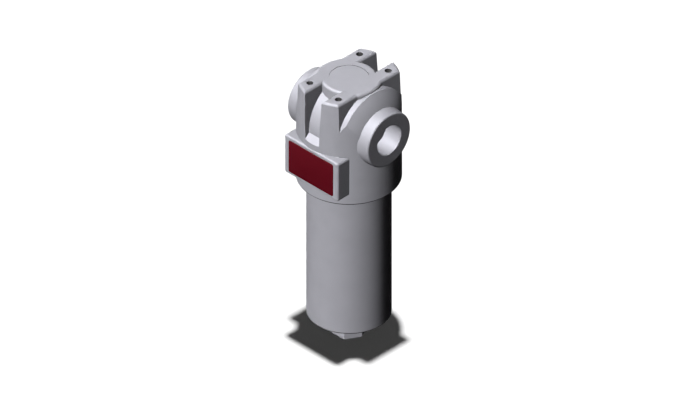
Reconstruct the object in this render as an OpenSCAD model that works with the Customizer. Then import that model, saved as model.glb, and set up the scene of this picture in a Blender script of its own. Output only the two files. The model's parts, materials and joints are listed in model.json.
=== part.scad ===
// Hydraulic inline filter: a cast head with two line ports, a screwed bowl and a pleated element.
// Millimetres. The origin is the middle of the bowl's foot, +Z is up and +X points to the outlet.

/* [Head casting] */
// Height of the head from its lower edge to the machined top face
head_h = 119.5; // [114:0.5:135]
// Radius of the head at its lower edge
head_r_low = 52.8; // [52:0.1:58]
// Radius of the head at the level of the ports
head_r_mid = 52.4; // [51.6:0.1:56]
// Radius across the lugs at the top face, less than below because of the casting draft
head_r_top = 50.4; // [49:0.1:51.5]
// Chamfer round the lower edge of the head
head_chamfer = 1.2; // [0.4:0.1:2]
// Rounding of the rim of the top face
head_top_round = 2; // [1:0.1:3]
// Radius of the dome, a sphere about the middle of the port axis
dome_r = 58.3; // [56:0.1:60]
// Radius of the drum that lies along the port axis between the lugs
drum_r = 47; // [45:0.1:48]
// Radius of the top plate towards the ports
cap_plate_r = 33.4; // [31:0.1:36]
// Radius of the top plate in the gaps between the lugs
cap_gap_r = 28.5; // [26:0.1:30]
// Rounding of the top plate's edge in the gaps between the lugs
cap_gap_round = 3.2; // [1:0.1:4]
// Depth of the port axis below the top face
port_drop = 49.5; // [48.5:0.5:54]

/* [Mounting lugs] */
// Spacing of the mounting holes along the port axis
bolt_dx = 40; // [38:0.5:42]
// Spacing of the mounting holes across the port axis
bolt_dy = 70; // [64:0.5:74]
// Width of a lug at the top face
lug_w = 16.6; // [14:0.1:18]
// Draft of the lug sides in degrees
lug_draft = 2.4; // [0.5:0.1:4]
// Rounding of the long top edges of a lug
lug_round = 2; // [0.5:0.1:3]
// Depth to which a lug reaches below the port axis
lug_foot = 10; // [8:0.5:12]
// Drill diameter of the M8 mounting holes
bolt_drill_d = 6.8; // [5:0.1:8.5]
// Depth of the mounting holes
bolt_depth = 20; // [12:0.5:26]
// Chamfer at the mouth of the mounting holes
bolt_chamfer = 0.4; // [0.2:0.1:0.8]

/* [Line ports] */
// Distance between the two port faces
port_span = 113; // [112:0.5:122]
// Diameter of the round bosses that carry the ports
boss_d = 60; // [52:0.5:62]
// Rounding of the outer edge of a boss
boss_round = 1.8; // [0.5:0.1:3]
// Concave radius where a boss grows out of the dome
boss_root = 6; // [3:0.1:6.5]
// Diameter of the port thread, G1
port_d = 33.25; // [26:0.05:34]
// Depth of the port thread
port_depth = 21; // [16:0.5:23]
// Diameter of the cast galleries behind the ports
gallery_d = 22; // [18:0.5:23]

/* [Indicator seat] */
// Diameter of the spotface for the clogging indicator
seat_d = 39.6; // [30:0.1:44]
// Depth of the spotface
seat_depth = 0.6; // [0.3:0.1:2]

/* [Name plate] */
// Width of the raised pad on the front of the head
pad_w = 75; // [66:0.5:80]
// Height of the pad
pad_h = 45.7; // [42:0.1:48]
// Depth of the pad's upper edge below the top face
pad_drop = 62; // [60:0.5:68]
// How far the pad's front face stands before the widest part of the head
pad_proud = 0.4; // [0.3:0.1:4]
// Corner radius of the pad
pad_corner = 2.5; // [1:0.1:6]
// Rounding of the rim round the pad's front face
pad_rim = 2; // [0.5:0.1:3]
// Width of the name plate
tag_w = 62; // [50:0.5:64]
// Height of the name plate
tag_h = 38; // [30:0.5:40]
// Thickness of the name plate
tag_t = 0.8; // [0.4:0.1:1.5]
// Corner radius of the name plate
tag_corner = 1.8; // [0.5:0.1:4]

/* [Bowl] */
// Outside diameter of the bowl and of its thread
bowl_d = 85; // [80:0.5:88]
// Visible length of the bowl between the head and its flat bottom
bowl_len = 164; // [120:1:260]
// Wall of the bowl
bowl_wall = 8.5; // [7.5:0.1:9]
// Thickness of the bowl's floor
bowl_floor = 10; // [8:0.5:16]
// Inside corner radius between floor and wall
bowl_fillet = 6; // [3:0.5:12]
// Chamfer round the bottom of the bowl
bowl_chamfer = 1.5; // [0.5:0.1:3]
// Length of the bowl thread, with a pitch of 2 mm
thread_len = 26; // [20:1:28]
// Radial step from the thread down to the plain neck that carries the seal
neck_step = 2.75; // [2.2:0.05:3]
// Length of the plain neck above the thread
neck_len = 14; // [11:0.5:14]
// Width across the flats of the hexagon under the bowl
hex_af = 32; // [24:1:46]
// Height of the hexagon
hex_h = 23.5; // [12:0.5:30]
// Chamfer of the hexagon's lower corners
hex_chamfer = 0.8; // [0.4:0.1:1.5]

/* [Bowl seal] */
// Depth of the seal groove in the neck
groove_deep = 2.9; // [2.2:0.1:3]
// Thickness of the bowl ring along the axis once it is squeezed
ring_w = 3.9; // [3:0.1:4.4]
// Thickness of the backup ring along the axis
backup_w = 1.5; // [1:0.1:2]
// Distance from the top of the neck to the groove
groove_drop = 3; // [2:0.1:5]

/* [Spigot] */
// Depth of the chamber roof below the port axis
roof_drop = 21.5; // [20.5:0.1:23]
// Radius of the chamber above the bowl
chamber_r = 36; // [34.5:0.1:37]
// Outside diameter of the spigot's nose
nose_d = 24.8; // [22:0.1:26]
// Wall of the spigot
spigot_wall = 2.4; // [1.8:0.1:3]
// Length of the nose below its collar
nose_len = 23.5; // [20:0.5:26]
// Diameter of the spigot's collar under the chamber roof
collar_d = 30; // [28:0.5:31]
// Thickness of the spigot's collar
collar_h = 3.5; // [2:0.1:5]
// Diameter of the spigot's shank in the head
shank_d = 26; // [25:0.1:27]
// Length of the spigot's shank
shank_len = 9; // [7:0.5:10]

/* [Element] */
// Outside diameter of the element's end caps
cap_d = 60; // [54:0.5:62]
// Thickness of the end cap plates
cap_t = 3; // [2:0.1:5]
// Thickness of the end cap skirts
cap_skirt_t = 0.8; // [0.5:0.1:1.2]
// Height of the end cap skirts over the pleats
cap_skirt_h = 7; // [4:0.5:12]
// Depth of the element's top below the chamber roof
element_drop = 15; // [14.5:0.5:17]
// Room under the element down to the bowl's floor
element_room = 6.5; // [4:0.5:20]
// Number of pleats
pleat_count = 48; // [24:1:56]
// Thickness of the folded filter layers
pleat_t = 0.6; // [0.4:0.05:0.7]
// Half width of a pleat's outer fold
pleat_tip = 1.1; // [0.9:0.05:1.2]
// Outside diameter of the perforated core
core_d = 35.2; // [34:0.1:37]
// Wall of the core
core_wall = 1.2; // [0.8:0.1:1.5]
// Diameter of the holes in the core
core_hole_d = 5; // [3:0.5:6]
// Holes through the core in one row, counted across both walls
core_pairs = 3; // [2:1:4]
// Distance between the rows of holes in the core
core_pitch = 13; // [10:0.5:20]
// Wall of the perforated outer sleeve
sleeve_wall = 0.6; // [0.4:0.1:0.7]
// Diameter of the holes in the sleeve
sleeve_hole_d = 8; // [4:0.5:9]
// Holes through the sleeve in one row, counted across both walls
sleeve_pairs = 4; // [2:1:5]
// Distance between the rows of holes in the sleeve
sleeve_pitch = 17; // [12:0.5:24]

/* [Bypass valve] */
// Distance of the valve from the bowl axis, towards the outlet
valve_x = 24.8; // [24:0.1:25.2]
// Diameter of the valve body under the chamber roof
valve_d = 16.6; // [15.6:0.1:17]
// Length of the valve body under the chamber roof
valve_hang = 10; // [9:0.5:11]
// Diameter of the valve's shank in the head
valve_shank_d = 15; // [14.4:0.1:15.4]
// Length of the valve's shank
valve_shank_len = 13; // [12:0.5:14]
// Bore of the valve body
valve_bore_d = 12; // [11:0.1:12.4]
// Diameter of the hole in the valve seat
orifice_d = 7; // [5:0.1:8]
// Height of the valve seat ring
valve_seat_h = 3.5; // [2.5:0.1:5]
// Diameter of the poppet's disc
poppet_d = 9.6; // [9:0.1:10]
// Thickness of the poppet's disc
poppet_t = 1.6; // [1:0.1:2.5]
// Depth of the poppet's cone in the seat
poppet_cone = 1.5; // [1:0.1:2]
// Diameter of the poppet's stem
stem_d = 3.2; // [2:0.1:4]
// Travel of the poppet from shut to full flow
valve_lift = 4; // [2:0.5:4.5]
// Wire diameter of the valve spring
wire_d = 1; // [0.7:0.1:1.1]
// Mean diameter of the valve spring
coil_d = 8; // [7:0.1:8.6]
// Turns of the valve spring
coil_turns = 5.5; // [3.5:0.5:6]
// Thickness of the spring plate
spring_plate_t = 1.6; // [1:0.1:2]
// Thickness of the snap ring
snap_t = 1; // [0.6:0.1:1.2]
// Depth of the snap ring's groove
snap_deep = 0.6; // [0.4:0.05:0.7]

/* [Fits] */
// Radial play of the bowl thread, drawn as plain cylinders
thread_play = 0.08; // [0.03:0.01:0.1]
// Radial play of the neck in the head and of the rings in their grooves
seal_play = 0.06; // [0.03:0.01:0.1]
// Radial play of the spigot, the valve body and the poppet's stem
bore_play = 0.05; // [0.02:0.01:0.1]
// Axial play of the rings in their grooves
groove_play = 0.1; // [0.05:0.05:0.3]

/* [Hidden] */
$fn = 96;
// A cut runs this far past the face that it opens
over = 1;
// Lead-in chamfers of what is pushed or screwed together, and small breaks of sharp edges
lead_in = 1;
edge_break = 0.5;
// A round edge stays this much short of the middle, so that it never meets the opposite one
flat = 0.01;
// Levels along the bowl axis
z_bowl = hex_h;
z_floor = z_bowl + bowl_floor;
z_head = z_bowl + bowl_len;
z_top = z_head + head_h;
z_port = z_top - port_drop;
z_thread = z_head + thread_len;
z_neck = z_thread + neck_len;
z_roof = z_port - roof_drop;
z_element = z_roof - element_drop;
z_media_top = z_element - cap_t;
z_media_low = z_floor + element_room + cap_t;
// Radii and distances that follow from the driving sizes
pad_front = max(head_r_low, head_r_mid) + pad_proud;
z_pad = z_top - pad_drop - pad_h / 2;
bowl_r = bowl_d / 2;
bowl_bore_r = bowl_r - bowl_wall;
neck_r = bowl_r - neck_step;
boss_r = boss_d / 2;
nose_r = nose_d / 2;
cap_r = cap_d / 2;
core_r = core_d / 2;
sleeve_r = cap_r - cap_skirt_t - bore_play;
media_r = sleeve_r - sleeve_wall - bore_play;
media_bore_r = core_r + bore_play;
// Half width of the gap inside a pleat's inner fold
pleat_nip = 0.15;
valve_bore_r = valve_bore_d / 2;
// Small rings: how thick their squeezed section is, and how wide along the axis
small_ring_t = 1.6;
small_ring_w = 2.2;
element_ring_t = 2.3;
element_ring_w = 3;
valve_ring_t = 0.9;
valve_ring_w = 1.4;
z_valve_ring = z_roof + 1.2;
// Kidney of the inlet gallery: place, width and half angle of its three drillings
kidney_r = 8.5;
kidney_x = chamber_r - kidney_r - edge_break;
kidney_turn = 30;
// Seal groove of the bowl, from its lower to its upper wall
groove_top = z_neck - groove_drop;
groove_low = groove_top - ring_w - backup_w - 3 * groove_play;
// Bypass valve, from the bottom of its seat to the snap ring
z_valve = z_roof - valve_hang;
z_valve_seat = z_valve + valve_seat_h;
z_valve_top = z_roof + valve_shank_len;
z_disc_top = z_valve_seat + poppet_t;
z_snap = z_valve_top - over - snap_t - groove_play;
z_spring_top = z_snap - spring_plate_t;
// Flow holes in the spring plate, and the rim left on both sides of them
flow_holes = 5;
flow_rim = 0.9;
// Radial width of the snap ring inside the bore, and the gap between its ends
snap_wide = 1.2;
snap_gap = 3;
// The spring has this many rings of points per turn, and this many points in a ring
coil_steps = 20;
wire_sides = 8;
// Colours of the finishes
shot_grey = "#b8b8c0";
plate_red = "#581018";
steel = "#c8ccd2";
brass = "#b89650";
rubber = "#202024";
media = "#e8e6dc";

// Rectangle with round corners, about the origin
module round_rect(w, h, r) {
    square([w - 2 * r, h], center = true);
    square([w, h - 2 * r], center = true);
    for (sx = [-1, 1], sz = [-1, 1])
        translate([sx * (w / 2 - r), sz * (h / 2 - r)])
            circle(r = r);
}

// Ring round the Z axis with flat sides and round edges, as a squeezed rubber ring has
module squeezed_ring(r_in, thick, wide, z) {
    half = min(thick, wide) / 2 - flat;
    rotate_extrude()
        translate([r_in + thick / 2, z + wide / 2])
            round_rect(thick, wide, half);
}

// Plain ring between two radii
module ring(r_in, r_out, h, z) {
    translate([0, 0, z])
        difference() {
            cylinder(h = h, r = r_out);
            translate([0, 0, -over])
                cylinder(h = h + 2 * over, r = r_in);
        }
}

// Cylinder that lies along X between two places, at the level of the ports
module lying(r, x0, x1) {
    translate([x0, 0, z_port])
        rotate([0, 90, 0])
            cylinder(h = x1 - x0, r = r);
}

// Outside of the casting with its draft, from the lower edge up to a given level
module draft_body() {
    rotate_extrude() {
        polygon([[0, z_head], [head_r_low - head_chamfer, z_head], [head_r_low, z_head + head_chamfer],
            [head_r_mid, z_port], [head_r_top, z_top - head_top_round],
            [head_r_top - head_top_round, z_top - head_top_round],
            [head_r_top - head_top_round, z_top], [0, z_top]]);
        translate([head_r_top - head_top_round, z_top - head_top_round])
            intersection() {
                circle(r = head_top_round);
                square(head_top_round);
            }
    }
}

// Lower half of the casting, with the sloped ledges under the gaps between the lugs
module lower_body() {
    ledge = head_r_low - drum_r + over;
    difference() {
        intersection() {
            draft_body();
            translate([0, 0, z_head])
                cylinder(h = z_port - z_head, r = head_r_low + over);
        }
        for (side = [0, 180])
            rotate([90, 0, 90 + side])
                translate([0, 0, -head_r_low])
                    linear_extrude(2 * head_r_low)
                        polygon([[drum_r, z_port], [drum_r, z_port + over],
                            [drum_r + ledge, z_port + over], [drum_r + ledge, z_port - ledge]]);
    }
}

// Upper half between the lugs: what drum, dome and draft have in common
module upper_body() {
    intersection() {
        draft_body();
        translate([0, 0, z_port])
            sphere(r = dome_r);
        lying(drum_r, -dome_r, dome_r);
    }
}

// Disc under the top face with a round upper edge
module round_disc(r, edge) {
    z_low = z_port + drum_r / 2;
    rotate_extrude() {
        translate([0, z_low])
            square([r, z_top - z_low - edge]);
        translate([0, z_low])
            square([r - edge, z_top - z_low]);
        translate([r - edge, z_top - edge])
            circle(r = edge);
    }
}

// Round plate on top, wider towards the ports than in the gaps between the lugs
module top_plate() {
    z_low = z_port + drum_r / 2;
    round_disc(cap_gap_r, cap_gap_round);
    intersection() {
        round_disc(cap_plate_r, lug_round);
        for (side = [-1, 1])
            translate([side * (bolt_dx / 2 + cap_plate_r / 2), 0, z_low])
                translate([-cap_plate_r / 2, -cap_plate_r, 0])
                    cube([cap_plate_r, 2 * cap_plate_r, z_top - z_low]);
    }
}

// Section of a lug with its drafted sides and its rounded top edges
module lug_section() {
    deep = port_drop + lug_foot;
    low = lug_w / 2 + deep * tan(lug_draft);
    arc = [for (a = [0 : 15 : 90]) lug_round * [sin(a), cos(a)]];
    right = [for (p = arc) [lug_w / 2 - lug_round, z_top - lug_round] + p];
    left = [for (i = [len(arc) - 1 : -1 : 0]) [-right[i].x, right[i].y]];
    polygon(concat(right, [[low, z_top - deep], [-low, z_top - deep]], left));
}

// The four lugs, two walls along Y that end in the outside of the casting
module lugs() {
    intersection() {
        draft_body();
        for (side = [-1, 1])
            translate([side * bolt_dx / 2, head_r_low, 0])
                rotate([90, 0, 0])
                    linear_extrude(2 * head_r_low)
                        lug_section();
    }
}

// Both port bosses with their rounded rims
module bosses() {
    for (side = [0, 180])
        translate([0, 0, z_port])
            rotate([0, 90, side])
                rotate_extrude() {
                    square([boss_r, port_span / 2 - boss_round]);
                    square([boss_r - boss_round, port_span / 2]);
                    translate([boss_r - boss_round, port_span / 2 - boss_round])
                        circle(r = boss_round);
                }
}

// Concave root between each boss and the dome, touching both
module boss_roots() {
    reach = dome_r + boss_root;
    rise = boss_r + boss_root;
    along = sqrt(reach * reach - rise * rise);
    inner = boss_r - boss_round;
    intersection() {
        translate([0, 0, z_port - head_r_mid])
            cylinder(h = 2 * head_r_mid, r = head_r_mid);
        for (side = [0, 180])
            translate([0, 0, z_port])
                rotate([0, 90, side])
                    rotate_extrude()
                        difference() {
                            polygon([[inner, along / 2], [rise, along / 2],
                                [rise, along] * dome_r / reach, [rise, along], [inner, along]]);
                            translate([rise, along])
                                circle(r = boss_root);
                        }
    }
}

// Section of the pad across its front face, with two round edges at the front
module pad_section(wide) {
    deep = pad_front / 2;
    translate([-wide / 2, -deep])
        square([wide, deep - pad_rim]);
    translate([-wide / 2 + pad_rim, -deep])
        square([wide - 2 * pad_rim, deep]);
    for (side = [-1, 1])
        translate([side * (wide / 2 - pad_rim), -pad_rim])
            circle(r = pad_rim);
}

// Raised pad for the name plate on the front, with round corners and a round rim
module pad() {
    translate([0, -pad_front, z_pad])
        intersection() {
            rotate([-90, 0, 0])
                linear_extrude(pad_front / 2)
                    round_rect(pad_w, pad_h, pad_corner);
            translate([0, 0, -pad_h])
                linear_extrude(2 * pad_h)
                    mirror([0, 1])
                        pad_section(pad_w);
            rotate([90, 0, 90])
                translate([0, 0, -pad_w])
                    linear_extrude(2 * pad_w)
                        rotate(90)
                            pad_section(pad_h);
        }
}

// Stepped bore that takes the bowl's thread and neck, and the chamber above it
module bowl_bore() {
    thread_r = bowl_r + thread_play;
    seal_r = neck_r + seal_play;
    z_seal = z_thread + edge_break;
    z_chamber = z_neck + lead_in;
    rotate_extrude()
        polygon([[0, z_head - over], [thread_r + head_chamfer + over, z_head - over],
            [thread_r, z_head + head_chamfer], [thread_r, z_seal],
            [seal_r + lead_in, z_seal], [seal_r, z_seal + 2 * lead_in],
            [seal_r, z_chamber], [chamber_r, z_chamber], [chamber_r, z_roof], [0, z_roof]]);
}

// Passages: inlet port down to the chamber, and from the spigot up to the outlet port
module galleries() {
    gallery_r = gallery_d / 2;
    x_end = port_span / 2 - port_depth;
    lying(gallery_r, -x_end - over, -kidney_x);
    for (turn = [-kidney_turn, 0, kidney_turn])
        rotate([0, 0, 180 + turn])
            translate([kidney_x, 0, z_roof - over])
                cylinder(h = roof_drop - gallery_r / 2 + over, r = kidney_r);
    lying(gallery_r, 0, x_end + over);
    translate([0, 0, z_port])
        sphere(r = gallery_r);
    translate([0, 0, z_roof - over])
        cylinder(h = roof_drop + over, r = nose_r - spigot_wall);
    translate([0, 0, z_roof - over])
        cylinder(h = shank_len + over, r = shank_d / 2 + bore_play);
    translate([valve_x, 0, z_roof - over])
        cylinder(h = valve_shank_len + 2 * over, r = valve_shank_d / 2 + bore_play);
}

// Threaded bores of both ports
module port_bores() {
    x_end = port_span / 2 - port_depth;
    lying(port_d / 2, x_end, port_span / 2 + over);
    lying(port_d / 2, -port_span / 2 - over, -x_end);
}

// Four blind holes for the mounting screws, with small chamfers
module bolt_holes() {
    r = bolt_drill_d / 2;
    for (sx = [-1, 1], sy = [-1, 1])
        translate([sx * bolt_dx / 2, sy * bolt_dy / 2, z_top])
            rotate_extrude()
                polygon([[0, over], [r + bolt_chamfer + over, over], [r, -bolt_chamfer],
                    [r, -bolt_depth], [0, -bolt_depth - r / 2]]);
}

// Head: one casting, machined at its ports, top face, mounting holes and bowl bore
module filter_head() {
    color(shot_grey)
        difference() {
            union() {
                lower_body();
                upper_body();
                top_plate();
                lugs();
                bosses();
                boss_roots();
                pad();
            }
            bowl_bore();
            galleries();
            port_bores();
            bolt_holes();
            translate([0, 0, z_top - seat_depth])
                cylinder(h = seat_depth + over, d = seat_d);
        }
}

// Bare plate on the front pad
module name_plate() {
    color(plate_red)
        translate([0, -pad_front, z_pad])
            rotate([90, 0, 0])
                linear_extrude(tag_t)
                    round_rect(tag_w, tag_h, tag_corner);
}

// Bowl: a turned cup with thread, neck and groove, and a hexagon for the spanner
module filter_bowl() {
    hex_r = hex_af / 2 / cos(30);
    hex_cone = hex_h + 2 * over;
    color(shot_grey)
        difference() {
            union() {
                rotate_extrude()
                    polygon([[0, z_bowl], [bowl_r - bowl_chamfer, z_bowl], [bowl_r, z_bowl + bowl_chamfer],
                        [bowl_r, z_thread - lead_in], [bowl_r - lead_in, z_thread],
                        [neck_r, z_thread], [neck_r, groove_low],
                        [neck_r - groove_deep, groove_low], [neck_r - groove_deep, groove_top],
                        [neck_r, groove_top], [neck_r, z_neck - lead_in],
                        [neck_r - lead_in, z_neck], [0, z_neck]]);
                intersection() {
                    cylinder(h = z_bowl + over, r = hex_r, $fn = 6);
                    cylinder(h = hex_cone, r1 = hex_r - hex_chamfer, r2 = hex_r - hex_chamfer + 2 * hex_cone);
                }
            }
            translate([0, 0, z_floor + bowl_fillet])
                cylinder(h = z_neck - z_floor, r = bowl_bore_r);
            translate([0, 0, z_floor])
                cylinder(h = z_neck - z_floor, r = bowl_bore_r - bowl_fillet);
            rotate_extrude()
                translate([bowl_bore_r - bowl_fillet, z_floor + bowl_fillet])
                    circle(r = bowl_fillet);
        }
}

// Rubber ring in the neck's groove
module bowl_o_ring() {
    r_in = neck_r - groove_deep + seal_play;
    color(rubber)
        squeezed_ring(r_in, groove_deep - seal_play, ring_w, groove_top - ring_w - groove_play);
}

// Harder ring below it, which keeps the rubber out of the gap
module bowl_backup_ring() {
    color(media)
        ring(neck_r - groove_deep + seal_play, neck_r, backup_w, groove_low + groove_play);
}

// Turned spigot in the head's roof, which carries the element
module element_spigot() {
    shank_r = shank_d / 2;
    z_collar = z_roof - collar_h;
    z_ring = z_roof + (shank_len - small_ring_w) / 2;
    color(steel)
        rotate_extrude()
            polygon([[nose_r - spigot_wall, z_collar - nose_len], [nose_r - lead_in, z_collar - nose_len],
                [nose_r, z_collar - nose_len + 2 * lead_in], [nose_r, z_collar],
                [collar_d / 2, z_collar], [collar_d / 2, z_roof], [shank_r, z_roof],
                [shank_r, z_ring - groove_play], [shank_r - small_ring_t, z_ring - groove_play],
                [shank_r - small_ring_t, z_ring + small_ring_w + groove_play],
                [shank_r, z_ring + small_ring_w + groove_play],
                [shank_r, z_roof + shank_len - edge_break],
                [shank_r - edge_break, z_roof + shank_len], [nose_r - spigot_wall, z_roof + shank_len]]);
}

// Rubber ring round the spigot's shank
module spigot_o_ring() {
    color(rubber)
        squeezed_ring(shank_d / 2 - small_ring_t + bore_play, small_ring_t - bore_play, small_ring_w,
            z_roof + (shank_len - small_ring_w) / 2);
}

// Rubber ring in the collar of the top cap, which grips the spigot
module element_o_ring() {
    color(rubber)
        squeezed_ring(nose_r + bore_play, element_ring_t - bore_play, element_ring_w,
            z_media_top - element_ring_w - cap_t);
}

// Pressed top cap with a skirt over the pleats and a collar inside the core
module element_top_cap() {
    bore_r = nose_r + 2 * bore_play;
    collar_r = core_r - core_wall - bore_play;
    ring_top = z_media_top - cap_t + groove_play;
    ring_low = ring_top - element_ring_w - 2 * groove_play;
    ring_r = nose_r + element_ring_t + bore_play;
    z_skirt = z_media_top - cap_skirt_h;
    z_collar = ring_low - cap_t;
    color(steel)
        rotate_extrude()
            polygon([[bore_r, z_collar], [collar_r, z_collar], [collar_r, z_media_top],
                [cap_r - cap_skirt_t, z_media_top], [cap_r - cap_skirt_t, z_skirt], [cap_r, z_skirt],
                [cap_r, z_element - lead_in], [cap_r - lead_in, z_element],
                [bore_r + lead_in, z_element], [bore_r, z_element - lead_in],
                [bore_r, ring_top], [ring_r, ring_top],
                [ring_r, ring_low], [bore_r, ring_low]]);
}

// Closed bottom cap with a skirt round the pleats and a plug inside the core
module element_bottom_cap() {
    z_low = z_media_low - cap_t;
    z_skirt = z_media_low + cap_skirt_h;
    plug_r = core_r - core_wall - bore_play;
    color(steel)
        rotate_extrude()
            polygon([[0, z_low], [cap_r - lead_in, z_low], [cap_r, z_low + lead_in], [cap_r, z_skirt],
                [cap_r - cap_skirt_t, z_skirt], [cap_r - cap_skirt_t, z_media_low],
                [plug_r, z_media_low], [plug_r, z_media_low + cap_t], [0, z_media_low + cap_t]]);
}

// One boundary of the folded layers: an outer fold and an inner fold for each pleat
function folds(r_out, half_out, r_in, half_in) = [
    for (i = [0 : pleat_count - 1], k = [0 : 3])
        let (
            outer = k < 2,
            r = outer ? r_out : r_in,
            half = outer ? half_out : half_in,
            middle = (i + (outer ? 0 : 0.5)) * 360 / pleat_count,
            a = middle + (k % 2 == 0 ? -1 : 1) * half / r * 180 / PI
        )
        r * [cos(a), sin(a)]
];

// Filter layers folded into a ring of pleats between the core and the sleeve
module pleat_pack() {
    color(media)
        translate([0, 0, z_media_low])
            linear_extrude(z_media_top - z_media_low)
                difference() {
                    polygon(folds(media_r, pleat_tip, media_bore_r + pleat_t, pleat_nip));
                    polygon(folds(media_r - pleat_t, pleat_tip - pleat_t,
                        media_bore_r, pleat_nip + pleat_t));
                }
}

// Tube with staggered rows of round holes, from one end cap to the other
module perforated(r, wall, hole_d, pairs, pitch) {
    long = z_media_top - z_media_low;
    rows = floor((long - 2 * cap_skirt_h) / pitch);
    first = z_media_low + (long - (rows - 1) * pitch) / 2;
    difference() {
        ring(r - wall, r, long, z_media_low);
        for (row = [0 : rows - 1], i = [0 : pairs - 1])
            translate([0, 0, first + row * pitch])
                rotate([90, 0, (i + (row % 2) / 2) * 180 / pairs])
                    translate([0, 0, -r - over])
                        cylinder(h = 2 * (r + over), d = hole_d, $fn = 16);
    }
}

// Perforated core that carries the pleats from inside
module core_tube() {
    color(steel)
        perforated(core_r, core_wall, core_hole_d, core_pairs, core_pitch);
}

// Perforated sleeve round the pleats
module outer_sleeve() {
    color(steel)
        perforated(sleeve_r, sleeve_wall, sleeve_hole_d, sleeve_pairs, sleeve_pitch);
}

// Valve body, screwed into the roof beside the spigot
module bypass_body() {
    shank_r = valve_shank_d / 2;
    color(steel)
        translate([valve_x, 0, 0])
            rotate_extrude()
                polygon([[valve_bore_r, z_valve], [valve_d / 2 - edge_break, z_valve],
                    [valve_d / 2, z_valve + edge_break], [valve_d / 2, z_roof], [shank_r, z_roof],
                    [shank_r, z_valve_ring], [shank_r - valve_ring_t, z_valve_ring],
                    [shank_r - valve_ring_t, z_valve_ring + valve_ring_w + 2 * groove_play],
                    [shank_r, z_valve_ring + valve_ring_w + 2 * groove_play],
                    [shank_r, z_valve_top], [valve_bore_r, z_valve_top],
                    [valve_bore_r, z_snap + snap_t + groove_play],
                    [valve_bore_r + snap_deep, z_snap + snap_t + groove_play],
                    [valve_bore_r + snap_deep, z_snap], [valve_bore_r, z_snap]]);
}

// Seat ring pressed into the foot of the valve body
module bypass_seat() {
    orifice_r = orifice_d / 2;
    cone_r = orifice_r + poppet_cone / 2;
    color(brass)
        translate([valve_x, 0, 0])
            rotate_extrude()
                polygon([[orifice_r, z_valve], [valve_bore_r, z_valve], [valve_bore_r, z_valve_seat],
                    [cone_r, z_valve_seat], [orifice_r, z_valve_seat - poppet_cone / 2]]);
}

// Rubber ring round the valve body's shank
module bypass_o_ring() {
    color(rubber)
        translate([valve_x, 0, 0])
            squeezed_ring(valve_shank_d / 2 - valve_ring_t + bore_play, valve_ring_t - bore_play,
                valve_ring_w, z_valve_ring + groove_play);
}

// Poppet: a cone that shuts the seat, a disc for the spring and a guided stem
module bypass_poppet() {
    orifice_r = orifice_d / 2 - bore_play;
    cone_r = orifice_r + poppet_cone / 2;
    z_nose = z_valve_seat - poppet_cone;
    color(steel)
        translate([valve_x, 0, 0])
            rotate_extrude()
                polygon([[0, z_nose], [orifice_r - lead_in, z_nose], [orifice_r, z_nose + poppet_cone / 2],
                    [cone_r, z_valve_seat], [poppet_d / 2, z_valve_seat + bore_play],
                    [poppet_d / 2, z_disc_top], [stem_d / 2, z_disc_top], [stem_d / 2, z_snap],
                    [stem_d / 2 - edge_break, z_snap + edge_break], [0, z_snap + edge_break]]);
}

// Points round the wire at one place along the coil
function wire_ring(step, steps, low, high) =
    let (
        turn = 360 * coil_turns * step / steps,
        z = low + (high - low) * step / steps
    )
    [for (k = [0 : wire_sides - 1])
        let (
            a = 360 * k / wire_sides,
            r = coil_d / 2 + wire_d / 2 * cos(a)
        )
        [r * cos(turn), r * sin(turn), z + wire_d / 2 * sin(a)]
    ];

// Helical spring, swept along its coil
module bypass_spring() {
    steps = ceil(coil_turns * coil_steps);
    low = z_disc_top + wire_d / 2 + bore_play;
    high = z_spring_top - wire_d / 2 - bore_play;
    points = [for (i = [0 : steps]) each wire_ring(i, steps, low, high)];
    sides = [for (i = [0 : steps - 1], k = [0 : wire_sides - 1])
        let (
            next = (k + 1) % wire_sides,
            a = i * wire_sides,
            b = a + wire_sides
        )
        [a + k, b + k, b + next, a + next]];
    start = [for (k = [0 : wire_sides - 1]) k];
    end = [for (k = [wire_sides - 1 : -1 : 0]) steps * wire_sides + k];
    color(steel)
        translate([valve_x, 0, 0])
            polyhedron(points = points, faces = concat(sides, [start, end]));
}

// Plate that guides the stem and takes the spring, with flow holes round it
module bypass_spring_plate() {
    hole_at = (valve_bore_r + stem_d / 2) / 2;
    hole_r = (valve_bore_r - stem_d / 2) / 2 - flow_rim;
    color(steel)
        difference() {
            translate([valve_x, 0, 0])
                ring(stem_d / 2 + bore_play, valve_bore_r - bore_play, spring_plate_t, z_spring_top);
            for (i = [0 : flow_holes - 1])
                translate([valve_x, 0, z_spring_top - over])
                    rotate([0, 0, i * 360 / flow_holes])
                        translate([hole_at, 0, 0])
                            cylinder(h = spring_plate_t + 2 * over, r = hole_r);
        }
}

// Open ring that locks the plate in the body
module bypass_snap_ring() {
    ring_r = valve_bore_r + snap_deep - bore_play;
    color(steel)
        difference() {
            translate([valve_x, 0, 0])
                ring(valve_bore_r - snap_wide, ring_r, snap_t, z_snap);
            translate([valve_x, -snap_gap / 2, z_snap - over])
                cube([ring_r + over, snap_gap, snap_t + 2 * over]);
        }
}

filter_head();
name_plate();
filter_bowl();
bowl_o_ring();
bowl_backup_ring();
element_spigot();
spigot_o_ring();
element_o_ring();
element_top_cap();
element_bottom_cap();
pleat_pack();
core_tube();
outer_sleeve();
bypass_body();
bypass_seat();
bypass_o_ring();
bypass_poppet();
bypass_spring();
bypass_spring_plate();
bypass_snap_ring();
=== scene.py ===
import json
import math

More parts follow.
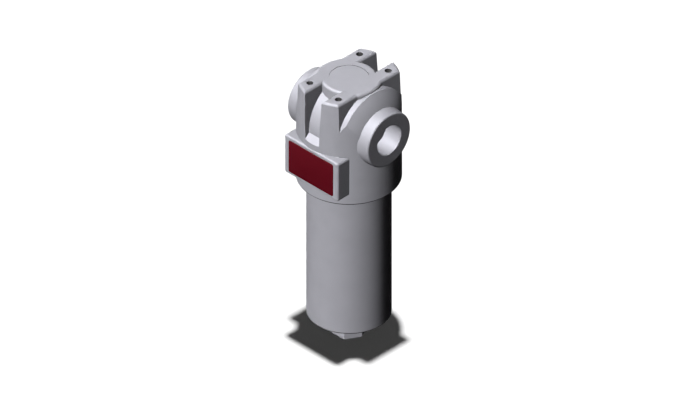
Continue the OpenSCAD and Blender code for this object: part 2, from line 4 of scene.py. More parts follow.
import bpy
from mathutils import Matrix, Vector


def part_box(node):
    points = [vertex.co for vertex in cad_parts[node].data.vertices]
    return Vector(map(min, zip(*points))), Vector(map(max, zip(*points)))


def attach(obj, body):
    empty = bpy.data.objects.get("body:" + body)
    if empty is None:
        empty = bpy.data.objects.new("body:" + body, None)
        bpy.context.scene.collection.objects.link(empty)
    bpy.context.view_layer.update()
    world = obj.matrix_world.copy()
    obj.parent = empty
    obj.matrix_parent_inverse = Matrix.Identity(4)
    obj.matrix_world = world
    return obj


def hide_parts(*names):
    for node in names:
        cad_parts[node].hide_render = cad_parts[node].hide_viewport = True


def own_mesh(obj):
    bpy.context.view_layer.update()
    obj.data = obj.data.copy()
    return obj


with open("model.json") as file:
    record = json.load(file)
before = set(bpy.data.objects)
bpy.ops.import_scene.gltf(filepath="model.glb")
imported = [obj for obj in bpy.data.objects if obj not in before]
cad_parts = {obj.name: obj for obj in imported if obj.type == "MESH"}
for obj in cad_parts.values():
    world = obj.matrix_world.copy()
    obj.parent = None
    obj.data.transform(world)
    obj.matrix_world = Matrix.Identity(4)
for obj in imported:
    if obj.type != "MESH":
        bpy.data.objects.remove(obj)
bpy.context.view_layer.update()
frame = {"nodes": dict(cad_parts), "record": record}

# Head casting: one grey iron casting. A drum lies along the port axis, a dome closes each end of
# it, four drafted lugs carry the mounting holes and a pad on the front carries the plate. The
# pieces of the pattern are joined as one skin, and the edges of the top are rounded as cast ones are.
MM = 0.001
OVER = 1 * MM
SIDES, ARC_STEPS, TOP_STEPS = 144, 6, 8
head_low, head_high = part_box("filter_head")
mounts = {mount["name"]: mount for mount in frame["record"]["mounts"]}
Z_TOP = head_high.z
Z_HEAD = head_low.z
Z_PORT = mounts["port_out"]["pos_m"][2]
PORT_AXIS = (0, Z_PORT)
PORT_FACE = head_high.x
BODY_LOW, BODY_MID, BODY_TOP = 52.8 * MM, 52.6 * MM, 51.6 * MM
Z_DRAFT = Z_PORT + 16 * MM
DRUM, DRUM_HALF, DOME = 46.5 * MM, 35 * MM, 78 * MM
TOP_ROUND = 3.2 * MM
PLATE_WIDE, PLATE_GAP, PLATE_DEEP = 33.4 * MM, 28.5 * MM, 30 * MM
LUG_X, LUG_TOP, LUG_LOW, LUG_DEEP = 20 * MM, 8.3 * MM, 10.85 * MM, 60.5 * MM
BOSS, BOSS_RIM, BOSS_DRAFT = 30 * MM, 1.6 * MM, math.radians(5)
BOSS_END = BOSS - BOSS_RIM
PAD_WIDE, PAD_HIGH, PAD_DROP = 75 * MM, 45.7 * MM, 62 * MM
PAD_FACE, PAD_CORNER, PAD_RIM = -53.2 * MM, 2.5 * MM, 2 * MM


def only(piece):
    """Makes a piece the one that the next operators work on."""
    bpy.ops.object.select_all(action="DESELECT")
    piece.select_set(True)
    bpy.context.view_layer.objects.active = piece


def named(name):
    """Names the primitive that was just added and brings its place into its mesh."""
    piece = bpy.context.object
    piece.name = piece.data.name = name
    only(piece)
    bpy.ops.object.transform_apply()
    return piece


def finished(piece, modifier):
    """Applies a modifier to its piece."""
    only(piece)
    bpy.ops.object.modifier_apply(modifier=modifier.name)


def combined(piece, tool, operation="DIFFERENCE"):
    """Cuts a piece with a tool, or joins them, or keeps what they share. The tool is used up."""
    modifier = piece.modifiers.new("combine", "BOOLEAN")
    modifier.operation = operation
    modifier.solver = "MANIFOLD"
    modifier.object = tool
    finished(piece, modifier)
    bpy.data.objects.remove(tool)


def outward():
    """Turns the faces of the mesh in edit mode outwards and leaves edit mode."""
    bpy.ops.mesh.select_all(action="SELECT")
    bpy.ops.mesh.normals_make_consistent(inside=False)
    bpy.ops.object.mode_set(mode="OBJECT")


def turned(name, steps, axis="Z", sides=SIDES, centre=(0, 0)):
    """Turns a closed solid: a disc grows along Z, or along X, through (place, radius) steps."""
    along_x = axis == "X"

    def middle(place):
        return (place, *centre) if along_x else (*centre, place)

    place, radius = steps[0]
    bpy.ops.object.select_all(action="DESELECT")
    bpy.ops.mesh.primitive_circle_add(vertices=sides, radius=radius, fill_type="NGON",
        location=middle(place), rotation=(0, math.pi / 2 if along_x else 0, 0))
    piece = named(name)
    bpy.ops.object.mode_set(mode="EDIT")
    bpy.ops.mesh.select_all(action="SELECT")
    for next_place, next_radius in steps[1:]:
        move, grow = next_place - place, next_radius / radius
        bpy.ops.mesh.extrude_region_move(
            TRANSFORM_OT_translate={"value": (move, 0, 0) if along_x else (0, 0, move)})
        bpy.ops.transform.resize(value=(1, grow, grow) if along_x else (grow, grow, 1),
            center_override=middle(next_place))
        place, radius = next_place, next_radius
    outward()
    return piece


def arc(place, radius, size, first, last, count=ARC_STEPS):
    """Steps of a round edge: (place, radius) pairs on a circle, between two angles in degrees."""
    angles = [math.radians(first + (last - first) * i / count) for i in range(count + 1)]
    return [(place + size * math.sin(a), radius + size * math.cos(a)) for a in angles]


def mirrored(piece):
    """A copy of a piece at the other end of the port axis, with its own mesh."""
    only(piece)
    bpy.ops.object.duplicate()
    twin = bpy.context.object
    twin.scale = (-1, 1, 1)
    only(twin)
    bpy.ops.object.transform_apply()
    bpy.ops.object.mode_set(mode="EDIT")
    outward()
    return twin


def block(name, low, high):
    """A box between two corners."""
    low, high = Vector(low), Vector(high)
    bpy.ops.object.select_all(action="DESELECT")
    bpy.ops.mesh.primitive_cube_add(size=1, location=(low + high) / 2, scale=high - low)
    return named(name)


def picked(piece, kind, wanted):
    """Opens a piece in edit mode with only those of its edges or faces selected that are wanted."""
    only(piece)
    bpy.ops.object.mode_set(mode="EDIT")
    bpy.ops.mesh.select_mode(type=kind)
    bpy.ops.mesh.select_all(action="DESELECT")
    bpy.ops.object.mode_set(mode="OBJECT")
    for part in piece.data.edges if kind == "EDGE" else piece.data.polygons:
        part.select = wanted(part)
    bpy.ops.object.mode_set(mode="EDIT")


def softened(piece, corner, rim, rim_steps):
    """Rounds the four corners of an upright block and then the rim of its front face."""
    def runs_back(edge):
        first, last = [piece.data.vertices[i].co for i in edge.vertices]
        return abs(first.y - last.y) > MM / 2

    picked(piece, "EDGE", runs_back)
    bpy.ops.mesh.bevel(offset=corner, segments=ARC_STEPS)
    outward()
    picked(piece, "FACE", lambda face: face.normal.y < -0.9)
    bpy.ops.mesh.bevel(offset=rim, segments=rim_steps)
    outward()


def draft_skin():
    """Outside of the casting with its draft, which the lugs and the drum end in."""
    return turned("draft_skin", [(Z_HEAD, BODY_LOW), (Z_PORT, BODY_MID), (Z_DRAFT, BODY_MID),
        *arc(Z_TOP - TOP_ROUND, BODY_TOP - TOP_ROUND, TOP_ROUND, 0, 90, TOP_STEPS)])


def top_disc(name, radius):
    """A disc of the top plate, with its upper edge rounded."""
    return turned(name, [(Z_TOP - PLATE_DEEP, radius),
        *arc(Z_TOP - TOP_ROUND, radius - TOP_ROUND, TOP_ROUND, 0, 90, TOP_STEPS)])


casting = turned("filter_casting", [(Z_HEAD, BODY_LOW), (Z_PORT, BODY_MID)])
only(casting)
bpy.ops.object.mode_set(mode="EDIT")
for side in (-1, 1):
    bpy.ops.mesh.select_all(action="SELECT")
    bpy.ops.mesh.bisect(plane_co=(0, side * DRUM, Z_PORT), plane_no=(0, side, 1),
        use_fill=True, clear_outer=True)
outward()

rim_angle, tip_angle = [math.degrees(math.acos(radius / DOME)) for radius in (DRUM, BOSS_END)]
dome_middle = DRUM_HALF - math.sqrt(DOME * DOME - DRUM * DRUM)
dome = arc(dome_middle, 0, DOME, rim_angle, tip_angle)
drum = turned("drum", [*[(-place, radius) for place, radius in reversed(dome)], *dome], "X",
    centre=PORT_AXIS)
combined(drum, draft_skin(), "INTERSECT")

plate_gap = top_disc("plate_gap", PLATE_GAP)
plate_wide = top_disc("plate_wide", PLATE_WIDE)
for side in (-1, 1):
    near, far = sorted((0, side * PLATE_WIDE))
    combined(plate_wide, block("between_lugs", (-LUG_X, near, Z_PORT), (LUG_X, far, Z_TOP + OVER)))

lugs = []
for side in (-1, 1):
    middle = side * LUG_X
    lug = block("lug", (middle - LUG_LOW, -BODY_LOW - OVER, Z_TOP - LUG_DEEP),
        (middle + LUG_LOW, BODY_LOW + OVER, Z_TOP))
    picked(lug, "FACE", lambda face: face.normal.z > 0.9)
    bpy.ops.transform.resize(value=(LUG_TOP / LUG_LOW, 1, 1), center_override=(middle, 0, Z_TOP))
    bpy.ops.mesh.bevel(offset=TOP_ROUND, segments=TOP_STEPS)
    outward()
    combined(lug, draft_skin(), "INTERSECT")
    lugs.append(lug)

boss_long = PORT_FACE - BOSS_RIM
boss = turned("boss", [(0, BOSS + boss_long * math.tan(BOSS_DRAFT)),
    *arc(boss_long, BOSS_END, BOSS_RIM, 0, 90)], "X", centre=PORT_AXIS)

pad = block("pad", (-PAD_WIDE / 2, PAD_FACE, Z_TOP - PAD_DROP - PAD_HIGH),
    (PAD_WIDE / 2, PAD_FACE / 2, Z_TOP - PAD_DROP))
softened(pad, PAD_CORNER, PAD_RIM, ARC_STEPS)

for piece in (drum, plate_gap, plate_wide, *lugs, mirrored(boss), boss, pad):
    combined(casting, piece, "UNION")

# Machining of the head: its foot and the port faces are faced, the bore for the bowl is turned, the
# seat for an indicator is spotfaced in the top, the oil's ways, the valve's place and the ports are
# bored, and the four mounting holes are drilled.
FOOT_CHAMFER, CONE = 1.2 * MM, 20 * MM
SEAT, SEAT_DEEP = 19.8 * MM, 0.6 * MM
PORT, PORT_DEEP, PORT_CHAMFER = 16.625 * MM, 21 * MM, 0.3 * MM
HOLE_X, HOLE_Y, HOLE, HOLE_DEEP = 20 * MM, 35 * MM, 3.4 * MM, 20 * MM
HOLE_TIP, HOLE_CHAMFER, TIP = 2 * MM, 0.4 * MM, 0.2 * MM
BOWL_THREAD, BOWL_SEAL, CHAMBER = 42.58 * MM, 39.81 * MM, 36 * MM
Z_THREAD, Z_NECK, Z_ROOF = Z_HEAD + 26 * MM, Z_HEAD + 40 * MM, Z_PORT - 21.5 * MM
MOUTH, RELIEF, STEP, LEAD = 1 * MM, 0.5 * MM, 0.1 * MM, 2.5 * MM
GALLERY, INLET_START = 11 * MM, 24 * MM
SPIGOT_BORE, SPIGOT_DEEP, OUTLET_BORE = 13 * MM, 9 * MM, 10 * MM
INLET_X, INLET_BORE, INLET_SHORT = 27 * MM, 8.5 * MM, 5 * MM
VALVE_X, VALVE_BORE, VALVE_DEEP = 24.8 * MM, 7.55 * MM, 14 * MM
SMALL_SIDES, HOLE_SIDES = 72, 48

combined(casting, turned("foot_chamfer", [(Z_HEAD, BODY_LOW - FOOT_CHAMFER),
    (Z_HEAD + CONE, BODY_LOW + CONE - FOOT_CHAMFER), (Z_TOP, BODY_LOW + CONE)]), "INTERSECT")
combined(casting, block("face_to_face", (-PORT_FACE, -2 * BODY_LOW, 0),
    (PORT_FACE, 2 * BODY_LOW, Z_TOP + OVER)), "INTERSECT")
combined(casting, turned("bowl_bore", [(Z_HEAD - 2 * MOUTH, BOWL_THREAD + 3 * MOUTH),
    (Z_HEAD + MOUTH, BOWL_THREAD), (Z_THREAD + RELIEF, BOWL_THREAD),
    (Z_THREAD + RELIEF + STEP, BOWL_SEAL + MOUTH), (Z_THREAD + LEAD, BOWL_SEAL),
    (Z_NECK + OVER, BOWL_SEAL), (Z_NECK + OVER + STEP, CHAMBER), (Z_ROOF, CHAMBER)]))
combined(casting, turned("indicator_seat", [(Z_TOP - SEAT_DEEP, SEAT), (Z_TOP + OVER, SEAT)]))
for first, last in ((-GALLERY / 2, PORT_FACE), (-PORT_FACE, -INLET_START)):
    combined(casting, turned("gallery", [(first, GALLERY), (last, GALLERY)], "X", centre=PORT_AXIS))
combined(casting, turned("outlet_drop", [(Z_ROOF - OVER, SPIGOT_BORE), (Z_ROOF + SPIGOT_DEEP, SPIGOT_BORE),
    (Z_ROOF + SPIGOT_DEEP + STEP, OUTLET_BORE), (Z_PORT, OUTLET_BORE)], sides=SMALL_SIDES))
for place, radius, top in ((-INLET_X, INLET_BORE, Z_PORT - INLET_SHORT),
        (VALVE_X, VALVE_BORE, Z_ROOF + VALVE_DEEP)):
    combined(casting, turned("roof_bore", [(Z_ROOF - OVER, radius), (top, radius)],
        sides=SMALL_SIDES, centre=(place, 0)))

port_tool = turned("port_tool", [(PORT_FACE - PORT_DEEP, PORT), (PORT_FACE - PORT_CHAMFER, PORT),
    (PORT_FACE + OVER, PORT + PORT_CHAMFER + OVER)], "X", centre=PORT_AXIS)
combined(casting, mirrored(port_tool))
combined(casting, port_tool)

for x in (-HOLE_X, HOLE_X):
    for y in (-HOLE_Y, HOLE_Y):
        combined(casting, turned("bolt_drill", [(Z_TOP - HOLE_DEEP - HOLE_TIP, TIP),
            (Z_TOP - HOLE_DEEP, HOLE), (Z_TOP - HOLE_CHAMFER, HOLE),
            (Z_TOP + OVER, HOLE + HOLE_CHAMFER + OVER)], sides=HOLE_SIDES, centre=(x, y)))


def smoothed(piece, degrees):
    """Shades a piece smooth, but for its edges that are sharper than an angle."""
    only(piece)
    bpy.ops.object.shade_smooth_by_angle(angle=math.radians(degrees))


smoothed(casting, 32)
even = casting.modifiers.new("even_shading", "WEIGHTED_NORMAL")
even.keep_sharp = True
finished(casting, even)
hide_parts("filter_head")
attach(casting, "head")


class Wire:
    """An output socket of a shader node, which can be used in sums and products."""

    def __init__(self, finish, socket):
        self.finish = finish
        self.socket = socket

    def math(self, operation, first, second=0.0):
        return self.finish.node("ShaderNodeMath", {"operation": operation}, {0: first, 1: second})

    def __add__(self, other):
        return self.math("ADD", self, other)

    def __sub__(self, other):
        return self.math("SUBTRACT", self, other)

    def __rsub__(self, other):
        return self.math("SUBTRACT", other, self)

    def __mul__(self, other):
        return self.math("MULTIPLY", self, other)

    def __pow__(self, other):
        return self.math("POWER", self, other)

    def __abs__(self):
        return self.math("ABSOLUTE", self)

    __radd__ = __add__
    __rmul__ = __mul__

    def larger(self, other):
        """The larger of two values."""
        return self.math("MAXIMUM", self, other)

    def spread(self, low, high):
        """The value brought from low and high to 0 and 1, with nothing outside them."""
        return self.finish.node("ShaderNodeMapRange", {"clamp": True}, {0: self, 1: low, 2: high})

    def below(self, limit, border):
        """1 below a limit and 0 above it, with a soft border under the limit."""
        return self.spread(limit, limit - border)

    def above(self, limit, border):
        """1 above a limit and 0 below it, with a soft border over the limit."""
        return self.spread(limit, limit + border)


class Finish:
    """A material in the making: its shader, and one method that adds any other node."""

    def __init__(self, name, **values):
        self.material = bpy.data.materials.new(name)
        self.material.use_nodes = True
        self.tree = self.material.node_tree
        self.shader = self.tree.nodes["Principled BSDF"]
        self.shows(**values)
        self.place = self.node("ShaderNodeTexCoord", {}, {}, "Object")

    def feed(self, node, inputs):
        """Sets the inputs of a node to numbers, colours or wires."""
        for key, value in inputs.items():
            if isinstance(value, Wire):
                self.tree.links.new(value.socket, node.inputs[key])
            else:
                node.inputs[key].default_value = value

    def node(self, kind, settings, inputs, output=0):
        """Adds a node with its settings and inputs and returns one of its outputs."""
        node = self.tree.nodes.new(kind)
        for key, value in settings.items():
            setattr(node, key, value)
        self.feed(node, inputs)
        return Wire(self, node.outputs[output])

    def along(self, axis):
        """How far a point lies along X, Y or Z."""
        return self.node("ShaderNodeSeparateXYZ", {}, {"Vector": self.place}, axis)

    def noise(self, scale, detail=3.0):
        """Noise with grains of about 1 / scale metres, from 0 to 1."""
        return self.node("ShaderNodeTexNoise", {}, {"Vector": self.place, "Scale": scale,
            "Detail": detail, "Roughness": 0.55})

    def lines(self, scales, detail=2.0):
        """Noise that is drawn out into fine lines, with a scale for each axis."""
        drawn = self.node("ShaderNodeMapping", {}, {"Vector": self.place, "Scale": scales})
        return self.node("ShaderNodeTexNoise", {}, {"Vector": drawn, "Scale": 1.0, "Detail": detail})

    def between(self, share, low, high):
        """A colour between two others, each a colour or a wire."""
        low, high = [colour if isinstance(colour, Wire) else (*colour, 1) for colour in (low, high)]
        return self.node("ShaderNodeMix", {"data_type": "RGBA"}, {0: share, 6: low, 7: high}, 2)

    def bump(self, height, depth):
        """A normal from a height in units of depth metres."""
        return self.node("ShaderNodeBump", {}, {"Height": height, "Distance": depth, "Strength": 1.0})

    def shows(self, **values):
        """Feeds the shader and returns the material."""
        self.feed(self.shader, {key.replace("_", " "): value for key, value in values.items()})
        return self.material


# Colour of painted shade, laid into the mounting holes, onto the step of the round seat, into the seam at
# the head's foot and along the bowl's lower edge.
PAINTED_SHADE = (0.11, 0.107, 0.11)
SEAM_HIGH, SEAM_SOFT = 1.9 * MM, 0.3 * MM
HOLE_WALL, HOLE_MOUTH, HOLE_DARK = 0.5 * MM, 0.2 * MM, 30 * MM
SEAT_WALL, SEAT_SOFT = 0.2 * MM, 0.02 * MM


def cast_grey():
    """Grey finish over a fine-grained casting, with a faint mottle and a soft grain. Shade is painted
    in dark grey into the mounting holes, onto the step of the round seat and into the seam at the foot."""
    finish = Finish("cast_grey", Metallic=0.02, Specular_IOR_Level=0.0)
    mottle = finish.noise(60, 4.0)
    grain = finish.noise(1100, 2.0)
    share = (mottle * 0.7 + grain * 0.3).spread(0.35, 0.65)
    skin = finish.between(share, (0.456, 0.455, 0.5), (0.486, 0.485, 0.533))
    x, y, z = [finish.along(axis) for axis in "XYZ"]
    from_hole = ((abs(x) - HOLE_X) ** 2 + (abs(y) - HOLE_Y) ** 2) ** 0.5
    from_seat = abs((x * x + y * y) ** 0.5 - SEAT)
    # Painted shade inside the mounting holes.
    hole_shade = (from_hole.below(HOLE + HOLE_WALL, 0.8 * HOLE_WALL)
        * z.below(Z_TOP - HOLE_MOUTH, SEAM_SOFT) * z.above(Z_TOP - HOLE_DARK, MM))
    # Painted shade on the wall of the seat's step, which shows as a thin dark line.
    step_shade = (from_seat.below(SEAT_WALL, SEAT_WALL / 2)
        * z.below(Z_TOP - SEAT_SOFT, SEAT_SOFT) * z.above(Z_TOP - SEAT_DEEP, SEAT_SOFT))
    # Painted shade on the down-facing chamfer at the head's foot, which shows as a dark seam.
    seam_shade = z.below(Z_HEAD + SEAM_HIGH, SEAM_SOFT)
    return finish.shows(
        Base_Color=finish.between(hole_shade.larger(step_shade).larger(seam_shade), skin, PAINTED_SHADE),
        Roughness=0.63 + 0.08 * grain, Normal=finish.bump(grain, 0.06 * MM))


def dressed(piece, material):
    """Gives a piece its one material."""
    piece.data.materials.clear()
    piece.data.materials.append(material)


dressed(casting, cast_grey())

# Name plate: a bare sheet of dark red anodised aluminium, glued to the pad. Its corners are round,
# its rim is broken, and the brushing of the sheet still shows a little along its length.
PLATE_CORNER, PLATE_RIM, PLATE_RIM_STEPS = 1.8 * MM, 0.25 * MM, 3

plate = block("plate_sheet", *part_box("name_plate"))
softened(plate, PLATE_CORNER, PLATE_RIM, PLATE_RIM_STEPS)
smoothed(plate, 40)
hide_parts("name_plate")
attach(plate, "head")


def red_sheet():
    """Dark red anodising over brushed sheet."""
    finish = Finish("plate_red", IOR=1.45, Specular_IOR_Level=0.02)
    brushing = finish.lines((40, 1000, 3000), 3.0)
    return finish.shows(
        Base_Color=finish.between(brushing.spread(0.3, 0.7), (0.146, 0.004, 0.012), (0.168, 0.005, 0.014)),
        Roughness=0.42 + 0.08 * brushing, Normal=finish.bump(brushing, 0.01 * MM))


dressed(plate, red_sheet())

# Bowl: turned from a steel tube, with a floor and a hexagon for the spanner. Its thread and its
# plain neck with the seal groove are hidden in the head until it is screwed out.
bowl_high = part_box("filter_bowl")[1]
ring_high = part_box("bowl_o_ring")[1]
backup_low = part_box("bowl_backup_ring")[0]
BOWL, BOWL_BORE, BOWL_SIDES, BOWL_GAP = 42.5 * MM, 34 * MM, 192, 0.6 * MM
NECK, NECK_CHAMFER, GROOVE, THIN = 39.75 * MM, 1 * MM, 36.85 * MM, 0.01 * MM
BOWL_FLOOR, BOWL_FILLET, BOWL_CHAMFER = 33.5 * MM, 6 * MM, 1.1 * MM
HEX, HEX_HIGH, HEX_CHAMFER, HEX_SIDES, HEX_IN = 16 * MM, 23.5 * MM, 0.8 * MM, 96, 4 * MM
HEX_CORNER = HEX / math.cos(math.radians(30))
THREAD_DEEP, THREAD_PITCH, THREAD_TURNS = 1.2 * MM, 2 * MM, 11
THREAD_HALF = 0.48 * THREAD_PITCH
THREAD_ROOT = BOWL - THREAD_DEEP
Z_SHOULDER, Z_FIRST_TURN = Z_HEAD + BOWL_GAP, Z_HEAD + THREAD_PITCH

bowl = turned("bowl_body", [(HEX_HIGH, BOWL - BOWL_CHAMFER),
    (HEX_HIGH + STEP, BOWL - BOWL_CHAMFER + STEP), (HEX_HIGH + BOWL_CHAMFER, BOWL),
    (Z_SHOULDER, BOWL), (Z_SHOULDER + THREAD_DEEP, THREAD_ROOT), (Z_THREAD - MM, THREAD_ROOT),
    (Z_THREAD, BOWL - 2 * MM), (Z_THREAD + 2 * THIN, NECK),
    (backup_low.z - STEP, NECK), (backup_low.z - STEP + THIN, GROOVE),
    (ring_high.z + STEP - THIN, GROOVE), (ring_high.z + STEP, NECK),
    (bowl_high.z - NECK_CHAMFER, NECK), (bowl_high.z, NECK - NECK_CHAMFER),
    (bowl_high.z - THIN, BOWL_BORE),
    *arc(BOWL_FLOOR + BOWL_FILLET, BOWL_BORE - BOWL_FILLET, BOWL_FILLET, 0, -90),
    (BOWL_FLOOR, MM)], sides=BOWL_SIDES)

bpy.ops.object.select_all(action="DESELECT")
bpy.ops.mesh.primitive_cylinder_add(vertices=6, radius=HEX_CORNER, depth=HEX_HIGH + HEX_IN,
    location=(0, 0, (HEX_HIGH + HEX_IN) / 2), rotation=(0, 0, math.radians(30)))
hexagon = named("bowl_hexagon")
combined(hexagon, turned("hexagon_turning", [(0, HEX_CORNER - HEX_CHAMFER),
    (HEX_CHAMFER, HEX_CORNER + HEX_CHAMFER), (HEX_HIGH + HEX_IN + OVER, HEX_CORNER + HEX_CHAMFER)],
    sides=HEX_SIDES), "INTERSECT")
combined(bowl, hexagon, "UNION")

bpy.ops.object.select_all(action="DESELECT")
bpy.ops.mesh.primitive_circle_add(vertices=4, radius=THREAD_HALF, fill_type="NOTHING",
    location=(THREAD_ROOT, 0, Z_FIRST_TURN), rotation=(math.pi / 2, 0, 0))
thread = named("bowl_thread")
bpy.ops.object.mode_set(mode="EDIT")
bpy.ops.mesh.select_all(action="SELECT")
bpy.ops.transform.resize(value=(THREAD_DEEP / THREAD_HALF, 1, 1),
    center_override=(THREAD_ROOT, 0, Z_FIRST_TURN))
bpy.ops.object.mode_set(mode="OBJECT")
winding = thread.modifiers.new("winding", "SCREW")
winding.axis = "Z"
winding.screw_offset = THREAD_PITCH
winding.iterations = THREAD_TURNS
winding.steps = winding.render_steps = SIDES
winding.use_normal_calculate = True
finished(thread, winding)
bpy.ops.object.mode_set(mode="EDIT")
bpy.ops.mesh.select_all(action="SELECT")
bpy.ops.mesh.fill_holes(sides=4)
outward()

only(bowl)
thread.select_set(True)
bpy.ops.object.join()
bowl.name = bowl.data.name = "pressure_bowl"
smoothed(bowl, 30)
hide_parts("filter_bowl")
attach(bowl, "bowl")

RIM_HIGH = 1.8 * MM


def bowl_grey():
    """The same grey finish on turned steel: very fine rings round the bowl, hardly any mottle, and
    painted shade in dark grey along its lower edge."""
    finish = Finish("bowl_grey", Metallic=0.02, Specular_IOR_Level=0.0)
    rings = finish.lines((20, 20, 2200))
    skin = finish.between(finish.noise(35).spread(0.35, 0.65), (0.458, 0.456, 0.503), (0.482, 0.48, 0.528))
    z = finish.along("Z")
    # Painted shade on the chamfer at the bowl's lower edge, which shows as a dark line.
    rim_shade = z.below(HEX_HIGH + RIM_HIGH, SEAM_SOFT) * z.above(HEX_HIGH - STEP, STEP)
    return finish.shows(Base_Color=finish.between(rim_shade, skin, PAINTED_SHADE),
        Roughness=0.64 + 0.06 * rings, Normal=finish.bump(rings, 0.01 * MM))


dressed(bowl, bowl_grey())

# Seals: moulded rubber rings in turned grooves, and one ring of hard white plastic beside the
# bowl's, on its low-pressure side. All of them are squeezed in place when the filter is closed.


def seal_rubber():
    """Black moulded rubber with a faint bloom."""
    finish = Finish("seal_rubber", IOR=1.5)
    bloom = finish.noise(400)
    return finish.shows(Base_Color=finish.between(bloom, (0.012, 0.012, 0.013), (0.03, 0.03, 0.031)),
        Roughness=0.45 + 0.2 * bloom, Normal=finish.bump(bloom, 0.01 * MM))


def backup_white():
    """Hard off-white ring, cut from a turned tube."""
    finish = Finish("backup_white", IOR=1.38)
    cloud = finish.noise(200, 2.0)
    return finish.shows(Base_Color=finish.between(cloud, (0.72, 0.71, 0.67), (0.82, 0.81, 0.77)),
        Roughness=0.35 + 0.1 * cloud)


def nodes_dressed(names, material):
    """Gives one material to pieces that keep their shape from the frame."""
    for name in names:
        dressed(frame["nodes"][name], material)


nodes_dressed(("bowl_o_ring", "spigot_o_ring", "element_o_ring", "bypass_o_ring"), seal_rubber())
nodes_dressed(("bowl_backup_ring",), backup_white())

# Element and its spigot: pressed and perforated zinc-plated sheet round a folded pack, pushed onto
# a turned steel tube in the head's roof.


def turned_steel():
    """Bright turned steel with fine tool marks."""
    finish = Finish("turned_steel", Metallic=1.0)
    marks = finish.lines((30, 30, 2500))
    return finish.shows(Base_Color=finish.between(marks, (0.5, 0.51, 0.53), (0.6, 0.61, 0.63)),
        Roughness=0.26 + 0.12 * marks, Normal=finish.bump(marks, 0.01 * MM))


def pressed_steel():
    """Zinc-plated sheet with the faint cells of the plating."""
    finish = Finish("pressed_steel", Metallic=1.0)
    cells = finish.node("ShaderNodeTexVoronoi", {}, {"Vector": finish.place, "Scale": 350.0}, "Distance")
    return finish.shows(Base_Color=finish.between(cells, (0.52, 0.54, 0.56), (0.66, 0.68, 0.7)),
        Roughness=0.32 + 0.15 * cells)


def filter_media():
    """Off-white glass fibre layers behind a fine wire mesh."""
    finish = Finish("filter_media", Roughness=0.85)
    weave = finish.node("ShaderNodeTexBrick", {"offset": 0.0}, {"Vector": finish.place, "Scale": 900.0,
        "Mortar Size": 0.06}, "Fac")
    fibres = finish.noise(2500, 4.0)
    return finish.shows(
        Base_Color=finish.between(weave * 0.5 + fibres * 0.4, (0.76, 0.74, 0.68), (0.5, 0.5, 0.48)),
        Normal=finish.bump(fibres, 0.04 * MM))


steel = turned_steel()
nodes_dressed(("element_spigot",), steel)
nodes_dressed(("element_top_cap", "element_bottom_cap", "core_tube", "outer_sleeve"), pressed_steel())
nodes_dressed(("pleat_pack",), filter_media())


def spring_steel():
    """Dark oiled wire."""
    finish = Finish("spring_steel", Metallic=1.0)
    streaks = finish.noise(900)
    return finish.shows(Base_Color=finish.between(streaks, (0.22, 0.23, 0.25), (0.38, 0.39, 0.41)),
        Roughness=0.3 + 0.2 * streaks)


def seat_brass():
    """Turned brass."""
    finish = Finish("seat_brass", Metallic=1.0)
    marks = finish.noise(1500, 2.0)
    return finish.shows(Base_Color=finish.between(marks, (0.55, 0.4, 0.16), (0.68, 0.5, 0.22)),
        Roughness=0.25 + 0.15 * marks)


nodes_dressed(("bypass_body", "bypass_poppet", "bypass_spring_plate"), steel)
nodes_dressed(("bypass_spring", "bypass_snap_ring"), spring_steel())
nodes_dressed(("bypass_seat",), seat_brass())
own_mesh(frame["nodes"]["bypass_spring"])

# Floor: a pale sheet that the camera and glossy surfaces see as it is, and that throws hardly any
# light back. It takes the filter's soft shadow from straight above.
FLOOR, FLOOR_PALE, FLOOR_UNSEEN = 6.0, 0.65, 0.02
PALE_RAYS = ("Is Camera Ray", "Is Glossy Ray", "Is Transmission Ray")

bpy.ops.object.select_all(action="DESELECT")
bpy.ops.mesh.primitive_plane_add(size=FLOOR, location=(0, 0, 0))
floor = named("floor")
sheet = Finish("floor_white", Base_Color=(FLOOR_PALE, FLOOR_PALE, FLOOR_PALE, 1), Roughness=1.0,
    Specular_IOR_Level=0.0)
rays = sheet.node("ShaderNodeLightPath", {}, {}).socket.node.outputs
camera_ray, glossy_ray, through_ray = [Wire(sheet, rays[name]) for name in PALE_RAYS]
unseen = sheet.node("ShaderNodeBsdfDiffuse", {}, {"Color": (FLOOR_UNSEEN, FLOOR_UNSEEN, FLOOR_UNSEEN, 1)})
surface = sheet.node("ShaderNodeMixShader", {}, {0: camera_ray + glossy_ray + through_ray,
    1: unseen, 2: Wire(sheet, sheet.shader.outputs[0])})
sheet.feed(sheet.tree.nodes["Material Output"], {"Surface": surface})
dressed(floor, sheet.material)

# Lamps and backdrop: a lamp above for the floor, a broad key lamp from the front and above, a weak
# one from behind on the left, and one that shows only in the gloss. None of them lights a surface by
# way of another. The backdrop is white to the camera and almost dark otherwise.
SHADOW_SOFT = math.radians(2.4)
AMBIENT = 0.013


def sun(name, towards, strength, softness, receivers, shadows=True):
    """A far lamp that shines from a direction onto one collection."""
    data = bpy.data.lights.new(name, "SUN")
    data.energy = strength
    data.angle = softness
    data.use_shadow = shadows
    data.cycles.max_bounces = 0
    data.cycles.use_multiple_importance_sampling = shadows
    lamp = bpy.data.objects.new(name, data)
    lamp.rotation_euler = Vector(towards).to_track_quat("Z", "Y").to_euler()
    bpy.context.scene.collection.objects.link(lamp)
    lamp.light_linking.receiver_collection = receivers
    return lamp


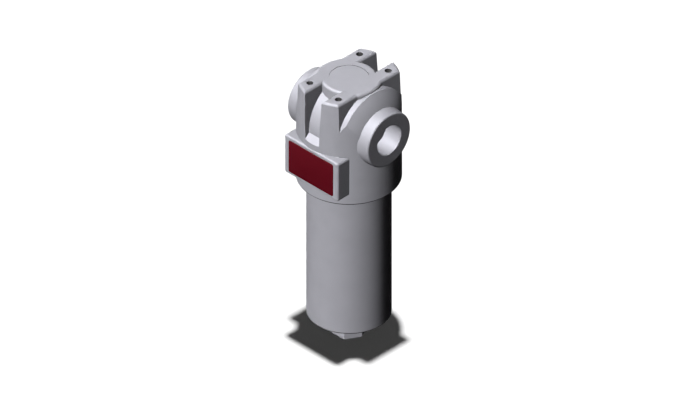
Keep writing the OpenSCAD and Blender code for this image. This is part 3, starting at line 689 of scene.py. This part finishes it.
for_floor = bpy.data.collections.new("for_floor")
for_floor.objects.link(floor)
for_filter = bpy.data.collections.new("for_filter")
for_filter.objects.link(floor)
for_filter.collection_objects[0].light_linking.link_state = "EXCLUDE"
sun("floor_sun", (0, 0, 1), 5.4, SHADOW_SOFT, for_floor)
sun("floor_fill", (0, 0, 1), 0.19, SHADOW_SOFT, for_floor, shadows=False)
sun("key", (0.1, -0.65, 0.755), 3.0, math.radians(12), for_filter, shadows=False)
sun("back_fill", (-0.72, 0.68, 0.12), 1.2, math.radians(20), for_filter)
gleam = sun("gleam", (-0.217, -0.535, 0.821), 105, math.radians(40), for_filter, shadows=False)
gleam.visible_diffuse = False

world = bpy.data.worlds.new("studio")
bpy.context.scene.world = world
world.use_nodes = True
nodes, links = world.node_tree.nodes, world.node_tree.links
backdrop = nodes["Background"]
backdrop.inputs["Color"].default_value = (1, 1, 1, 1)
ambient = nodes.new("ShaderNodeBackground")
ambient.inputs["Color"].default_value = (AMBIENT, AMBIENT, AMBIENT, 1)
path = nodes.new("ShaderNodeLightPath")
seen = path.outputs[PALE_RAYS[0]]
for name in PALE_RAYS[1:]:
    either = nodes.new("ShaderNodeMath")
    links.new(seen, either.inputs[0])
    links.new(path.outputs[name], either.inputs[1])
    seen = either.outputs[0]
mix = nodes.new("ShaderNodeMixShader")
for number, socket in enumerate((seen, ambient.outputs[0], backdrop.outputs[0])):
    links.new(socket, mix.inputs[number])
links.new(mix.outputs[0], nodes["World Output"].inputs[0])

# Camera: the picture is an isometric view, so the camera has no perspective. One unit of the
# picture is 0.9925 mm, and its middle looks at a point on the bowl axis.
IMAGE_WIDE = 698
UNIT = 0.9925 * MM
AIM_Z, CAMERA_FAR, CAMERA_REACH = 153.8 * MM, 2, 20

lens = bpy.data.cameras.new("camera")
lens.type = "ORTHO"
lens.ortho_scale = IMAGE_WIDE * UNIT
lens.clip_end = CAMERA_REACH
camera = bpy.data.objects.new("camera", lens)
bpy.context.scene.collection.objects.link(camera)
isometric = Vector((1, -1, 1)).normalized()
camera.rotation_euler = isometric.to_track_quat("Z", "Y").to_euler()
camera.location = Vector((0, 0, AIM_Z)) + CAMERA_FAR * isometric
bpy.context.scene.camera = camera
bpy.context.scene.view_settings.view_transform = "Standard"
